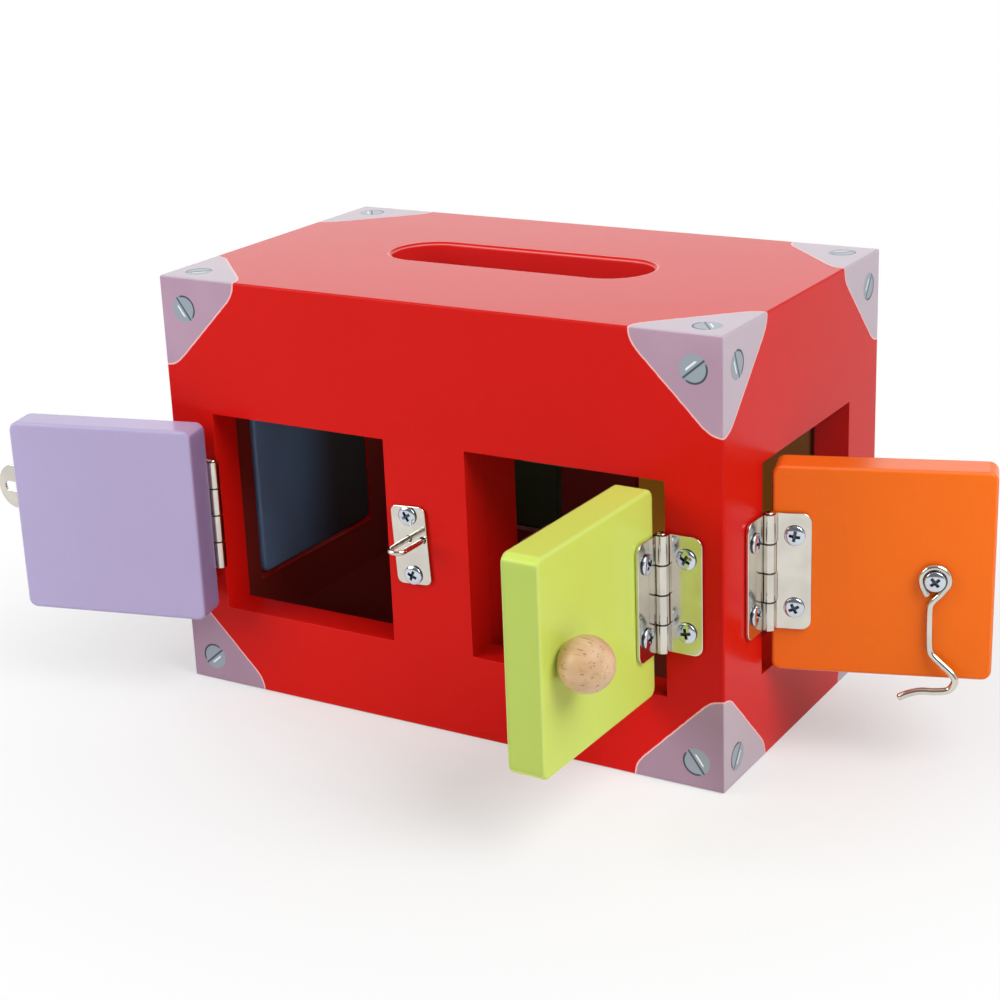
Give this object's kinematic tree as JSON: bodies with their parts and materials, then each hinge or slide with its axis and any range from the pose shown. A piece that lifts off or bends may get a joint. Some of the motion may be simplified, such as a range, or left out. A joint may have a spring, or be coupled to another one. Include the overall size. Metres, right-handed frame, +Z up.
{
  "type": "latch box",
  "caption": "Red wooden toy box with small coloured doors on butt hinges, each kept shut by a different latch, and a hand slot in the top.",
  "frame": {"origin": "middle of the flat underside", "axes": "+X to the right along the long front, +Y to the back, +Z up"},
  "size_m": [0.4464, 0.2653, 0.19],
  "materials": {
    "red_paint": "brushed red paint on wood, satin",
    "purple_paint": "pale purple paint on wood, satin",
    "lime_paint": "lime green paint on wood, satin",
    "orange_paint": "orange paint on wood, satin",
    "gold_paint": "golden yellow paint on wood, satin",
    "green_paint": "green paint on wood, satin",
    "blue_paint": "blue paint on wood, satin",
    "nickel": "bright nickel plate",
    "beech": "bare beech, sanded",
    "catch_plastic": "off-white moulded plastic",
    "ferrite": "dull dark grey magnet"
  },
  "bodies": {
    "box": {"front_panel": "red_paint", "back_panel": "red_paint", "right_end_panel": "red_paint", "left_end_panel": "red_paint", "top_panel": "red_paint", "bottom_panel": "red_paint", "middle_batten": "red_paint", "staple_plate": "nickel", "staple_loop": "nickel", "magnet_case": "catch_plastic", "magnet": "ferrite", "hook_eye": "nickel", "blue_bolt_keeper": "nickel", "gold_bolt_keeper": "nickel", "turn_button_screw": "nickel", "purple_box_leaf": "nickel", "purple_hinge_pin": "nickel", "lime_box_leaf": "nickel", "lime_hinge_pin": "nickel", "orange_box_leaf": "nickel", "orange_hinge_pin": "nickel", "gold_box_leaf": "nickel", "gold_hinge_pin": "nickel", "green_box_leaf": "nickel", "green_hinge_pin": "nickel", "blue_box_leaf": "nickel", "blue_hinge_pin": "nickel"},
    "purple_door": {"purple_door": "purple_paint", "purple_door_leaf": "nickel", "hasp_leaf": "nickel", "hasp_pin": "nickel"},
    "lime_door": {"lime_door": "lime_paint", "lime_door_leaf": "nickel", "knob": "beech", "knob_screw": "nickel", "strike_plate": "nickel"},
    "orange_door": {"orange_door": "orange_paint", "orange_door_leaf": "nickel", "hook_screw": "nickel"},
    "gold_door": {"gold_door": "gold_paint", "gold_door_leaf": "nickel", "gold_bolt_base": "nickel"},
    "green_door": {"green_door": "green_paint", "green_door_leaf": "nickel"},
    "blue_door": {"blue_door": "blue_paint", "blue_door_leaf": "nickel", "blue_bolt_base": "nickel"},
    "hasp": {"hasp_strap": "nickel"},
    "hook": {"hook": "nickel"},
    "blue_bolt": {"blue_bolt": "nickel"},
    "gold_bolt": {"gold_bolt": "nickel"},
    "turn_button": {"turn_button": "beech"}
  },
  "joints": [
    {"name": "purple_hinge", "type": "hinge", "parent": "box", "child": "purple_door", "pos_m": [-0.11175, -0.08305, 0.08375], "axis": [0, 0, -1], "range_deg": [-166, 9]},
    {"name": "lime_hinge", "type": "hinge", "parent": "box", "child": "lime_door", "pos_m": [0.10975, -0.08305, 0.08375], "axis": [0, 0, 1], "range_deg": [-89, 61]},
    {"name": "orange_hinge", "type": "hinge", "parent": "box", "child": "orange_door", "pos_m": [0.13805, -0.04375, 0.08375], "axis": [0, 0, -1], "range_deg": [-72, 48]},
    {"name": "gold_hinge", "type": "hinge", "parent": "box", "child": "gold_door", "pos_m": [0.11175, 0.08305, 0.08375], "axis": [0, 0, -1], "range_deg": [0, 120]},
    {"name": "green_hinge", "type": "hinge", "parent": "box", "child": "green_door", "pos_m": [-0.10975, 0.08305, 0.08375], "axis": [0, 0, 1], "range_deg": [0, 120]},
    {"name": "blue_hinge", "type": "hinge", "parent": "box", "child": "blue_door", "pos_m": [-0.13805, 0.04625, 0.08375], "axis": [0, 0, -1], "range_deg": [0, 120]},
    {"name": "hasp_swing", "type": "hinge", "parent": "purple_door", "child": "hasp", "pos_m": [-0.18593, -0.10216, 0.0875], "axis": [0, 0, -1], "range_deg": [-15, 135]},
    {"name": "hook_turn", "type": "hinge", "parent": "orange_door", "child": "hook", "pos_m": [0.1994, -0.02061, 0.08285], "axis": [0.309, -0.9511, 0], "continuous": true},
    {"name": "blue_bolt_slide", "type": "slide", "parent": "blue_door", "child": "blue_bolt", "axis": [0, -1, 0], "range_m": [0, 0.014]},
    {"name": "gold_bolt_slide", "type": "slide", "parent": "gold_door", "child": "gold_bolt", "axis": [0, 0, 1], "range_m": [0, 0.014]},
    {"name": "turn_button_turn", "type": "hinge", "parent": "box", "child": "turn_button", "pos_m": [-0.00925, 0.08, 0.08375], "axis": [0, 1, 0], "range_deg": [0, 90]}
  ]
}
